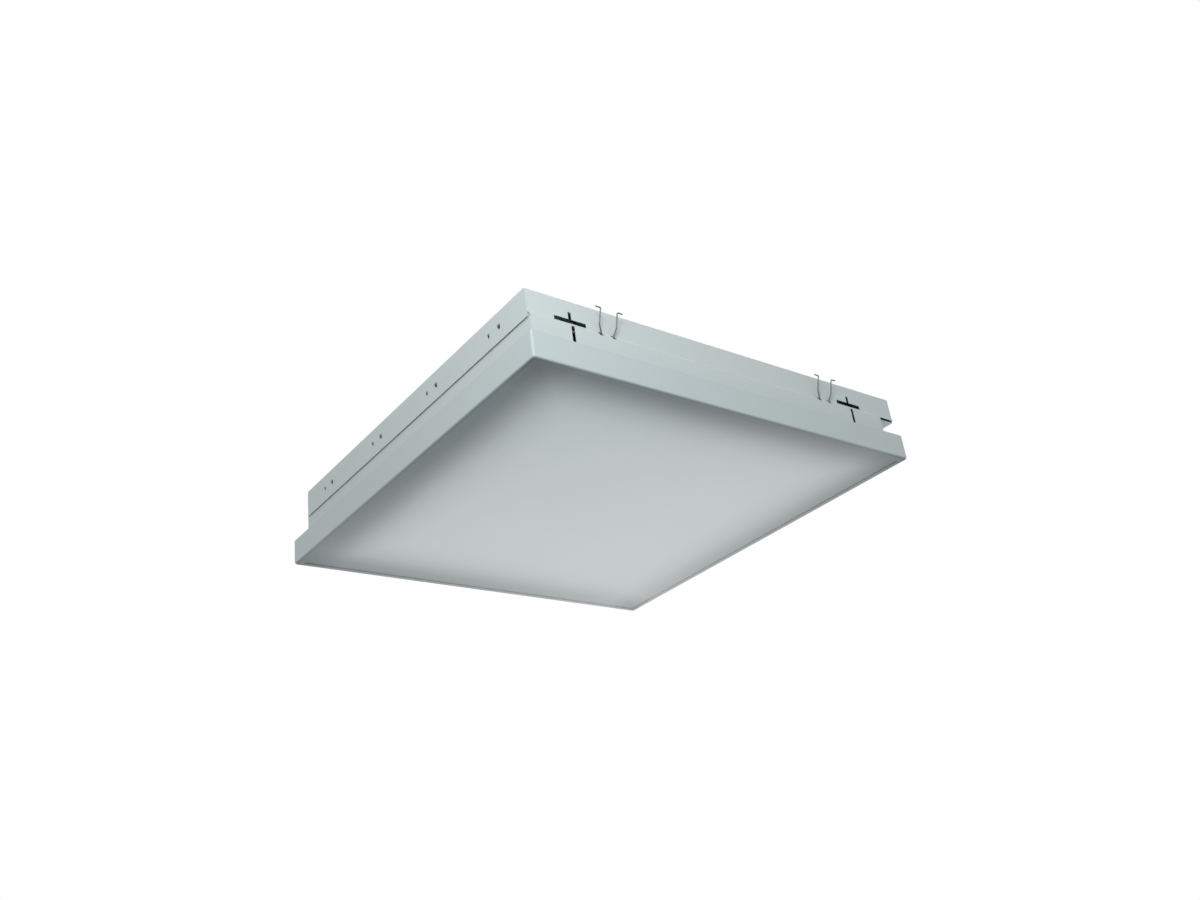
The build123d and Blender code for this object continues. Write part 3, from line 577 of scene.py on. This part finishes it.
def newShapeTree(name, numbers):
    # Points in, pieces of one material out; numbers are the named sizes and their defaults
    tree = bpy.data.node_groups.new(name, "GeometryNodeTree")
    tree.is_modifier = True
    sockets = [("Places", "NodeSocketGeometry")]
    for inputName, value in numbers.items():
        kind = "NodeSocketInt" if isinstance(value, int) else "NodeSocketFloat"
        sockets.append((inputName, kind))
    sockets.append(("Finish", "NodeSocketMaterial"))
    for inputName, kind in sockets:
        socket = tree.interface.new_socket(name=inputName, in_out="INPUT", socket_type=kind)
        if inputName in numbers:
            socket.default_value = numbers[inputName]
    tree.interface.new_socket(name="Pieces", in_out="OUTPUT", socket_type="NodeSocketGeometry")
    start = tree.nodes.new("NodeGroupInput").outputs
    end = tree.nodes.new("NodeGroupOutput").inputs
    return tree, start, end


def addRod(tree, sides, radius, depth, rings=1):
    rod = addNode(tree, "GeometryNodeMeshCylinder", {
        "Vertices": sides, "Side Segments": 1, "Fill Segments": rings,
        "Radius": radius, "Depth": depth,
    })
    rod.fill_type = "TRIANGLE_FAN"
    return rod.outputs["Mesh"]


def addVector(tree, x, y, z):
    return addNode(tree, "ShaderNodeCombineXYZ", {"X": x, "Y": y, "Z": z}).outputs[0]


def addTimes(tree, value, times):
    return addMath(tree, "MULTIPLY", value, times)


def addMoved(tree, shape, z):
    return addNode(tree, "GeometryNodeTransform", {
        "Geometry": shape, "Translation": addVector(tree, 0.0, 0.0, z),
    }).outputs[0]


def addPointAxes(tree):
    return addAxes(tree, tree.nodes.new("GeometryNodeInputPosition").outputs[0])


def addDome(tree, start):
    # A head below the height 0, fuller in the middle than at its rim
    radius, height = start["Head Radius"], start["Head Height"]
    shape = addRod(tree, start["Sides"], radius, height, domeLook["rings"])
    shape = addMoved(tree, shape, addTimes(tree, height, -0.5))
    axes = addPointAxes(tree)
    squares = [addMath(tree, "POWER", axes[axis], 2) for axis in ("X", "Y")]
    across = addMath(tree, "ADD", *squares)
    share = addMath(tree, "DIVIDE", across, addMath(tree, "POWER", radius, 2))
    fall = addMath(tree, "POWER", share, domeLook["fullness"])
    fall = addTimes(tree, fall, start["Head Roundness"])
    z = addTimes(tree, axes["Z"], addMath(tree, "SUBTRACT", 1.0, fall))
    return addNode(tree, "GeometryNodeSetPosition", {
        "Geometry": shape, "Position": addVector(tree, axes["X"], axes["Y"], z),
    }).outputs[0]


def addUnion(tree, shapes):
    node = tree.nodes.new("GeometryNodeMeshBoolean")
    node.operation = "UNION"
    for shape in shapes:
        tree.links.new(shape, node.inputs["Mesh 2"])
    return node.outputs["Mesh"]


def addCut(tree, shape, cutter):
    node = tree.nodes.new("GeometryNodeMeshBoolean")
    node.operation = "DIFFERENCE"
    tree.links.new(shape, node.inputs["Mesh 1"])
    tree.links.new(cutter, node.inputs["Mesh 2"])
    return node.outputs["Mesh"]


def finishShapes(tree, start, end, shape, turn):
    placed = addNode(tree, "GeometryNodeInstanceOnPoints", {
        "Points": start["Places"], "Instance": shape, "Rotation": turn,
    }).outputs["Instances"]
    whole = addNode(tree, "GeometryNodeRealizeInstances", {"Geometry": placed}).outputs[0]
    painted = addNode(tree, "GeometryNodeSetMaterial", {
        "Geometry": whole, "Material": start["Finish"],
    }).outputs[0]
    tree.links.new(painted, end[0])


def makeScrewTree():
    # Pan head screws that point up, with a cross recess turned as each was left
    tree, start, end = newShapeTree("panScrews", {
        "Sides": 28, "Head Radius": 0.0045, "Head Height": 0.002, "Head Roundness": 0.5,
        "Shank Radius": 0.002, "Shank Length": 0.0012,
        "Recess Width": 0.0009, "Recess Depth": 0.0011, "Seed": 4,
    })
    head = addDome(tree, start)
    overlap = addTimes(tree, start["Head Height"], shankOverlap)
    length = addMath(tree, "ADD", start["Shank Length"], overlap)
    middle = addMath(tree, "SUBTRACT", start["Shank Length"], addTimes(tree, length, 0.5))
    shank = addMoved(tree, addRod(tree, start["Sides"], start["Shank Radius"], length), middle)
    recessLength = addTimes(tree, start["Head Radius"], recessShare)
    recessTall = addTimes(tree, start["Recess Depth"], 2.0)
    cutters = []
    for x, y in ((recessLength, start["Recess Width"]), (start["Recess Width"], recessLength)):
        size = addVector(tree, x, y, recessTall)
        box = addNode(tree, "GeometryNodeMeshCube", {"Size": size}).outputs["Mesh"]
        cutters.append(addMoved(tree, box, addTimes(tree, start["Head Height"], -1.0)))
    screw = addCut(tree, addUnion(tree, [head, shank]), addUnion(tree, cutters))
    turn = addNode(tree, "FunctionNodeRandomValue", {"Seed": start["Seed"]})
    # Input 3 and output 1 are the largest number and the result of its float kind
    turn.inputs[3].default_value = math.pi / 2
    finishShapes(tree, start, end, screw, addVector(tree, 0.0, 0.0, turn.outputs[1]))
    return tree


def makeRivetTree():
    # Blind rivets along Y with their domed heads outwards, front and back
    tree, start, end = newShapeTree("blindRivets", {
        "Sides": 24, "Head Radius": 0.003, "Head Height": 0.001, "Head Roundness": 0.55,
        "Shank Radius": 0.0016, "Grip": 0.002, "Pin Radius": 0.0009, "Pin Depth": 0.0005,
    })
    sides, grip, headHeight = start["Sides"], start["Grip"], start["Head Height"]
    head = addDome(tree, start)
    shank = addRod(tree, sides, start["Shank Radius"], addMath(tree, "ADD", grip, headHeight))
    shank = addMoved(tree, shank, addTimes(tree, grip, 0.5))
    tail = addRod(tree, sides, start["Head Radius"], headHeight)
    tail = addMoved(tree, tail, addMath(tree, "ADD", grip, addTimes(tree, headHeight, 0.5)))
    pit = addRod(tree, sides, start["Pin Radius"], addTimes(tree, start["Pin Depth"], 2.0))
    pit = addMoved(tree, pit, addTimes(tree, headHeight, -1.0))
    rivet = addCut(tree, addUnion(tree, [head, shank, tail]), pit)
    outwards = addMath(tree, "SIGN", addPointAxes(tree)["Y"])
    turn = addVector(tree, addTimes(tree, outwards, math.pi / 2), 0.0, 0.0)
    finishShapes(tree, start, end, rivet, turn)
    return tree


def growPiece(name, look, tree, finish):
    carrier = bpy.data.objects.new(name + "Places", bpy.data.meshes.new(name + "Places"))
    carrier.data.from_pydata(look["places"], [], [])
    scene.collection.objects.link(carrier)
    modifier = carrier.modifiers.new(tree.name, "NODES")
    modifier.node_group = tree
    values = {**look["sizes"], "Finish": finish}
    for item in tree.interface.items_tree:
        if item.in_out == "INPUT" and item.name in values:
            modifier[item.identifier] = values[item.name]
    state = bpy.context.evaluated_depsgraph_get()
    mesh = bpy.data.meshes.new_from_object(carrier.evaluated_get(state), depsgraph=state)
    mesh.name = name
    bpy.data.objects.remove(carrier)
    piece = bpy.data.objects.new(name, mesh)
    scene.collection.objects.link(piece)
    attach(piece, look["body"])
    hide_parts(look["replaced"])


screwTree = makeScrewTree()
rivetTree = makeRivetTree()
screwLooks = {
    "reflectorPanScrews": {
        "body": "housing", "slot": "zinc_steel", "replaced": "reflector_screws",
        "places": [(x, y, 0.1035) for x in (-0.2, 0.2) for y in (-0.0814, 0.0814)],
        "sizes": {
            "Head Radius": 0.0045, "Head Height": 0.002,
            "Shank Radius": 0.002, "Shank Length": 0.0012,
        },
    },
    "ballastPanScrews": {
        "body": "housing", "slot": "zinc_steel", "replaced": "ballast_screws",
        "places": [(x, 0.0, 0.1028) for x in (-0.1805, 0.1805)],
        "sizes": {
            "Head Radius": 0.0038, "Head Height": 0.0018,
            "Shank Radius": 0.0019, "Shank Length": 0.0019,
            "Recess Width": 0.0008, "Recess Depth": 0.001, "Seed": 7,
        },
    },
}
rivetLook = {
    "body": "door", "slot": "lamp_metal", "replaced": "bracket_rivets",
    "places": [(x, y, 0.011) for y in (-0.2673, 0.2673) for x in (-0.187, -0.167, 0.167, 0.187)],
    "sizes": {
        "Head Radius": 0.003, "Head Height": 0.001, "Shank Radius": 0.0016, "Grip": 0.002,
    },
}
for name, look in screwLooks.items():
    growPiece(name, look, screwTree, zincPlate)
growPiece("bracketBlindRivets", rivetLook, rivetTree, lampMetal)
print("screws and rivets grown")
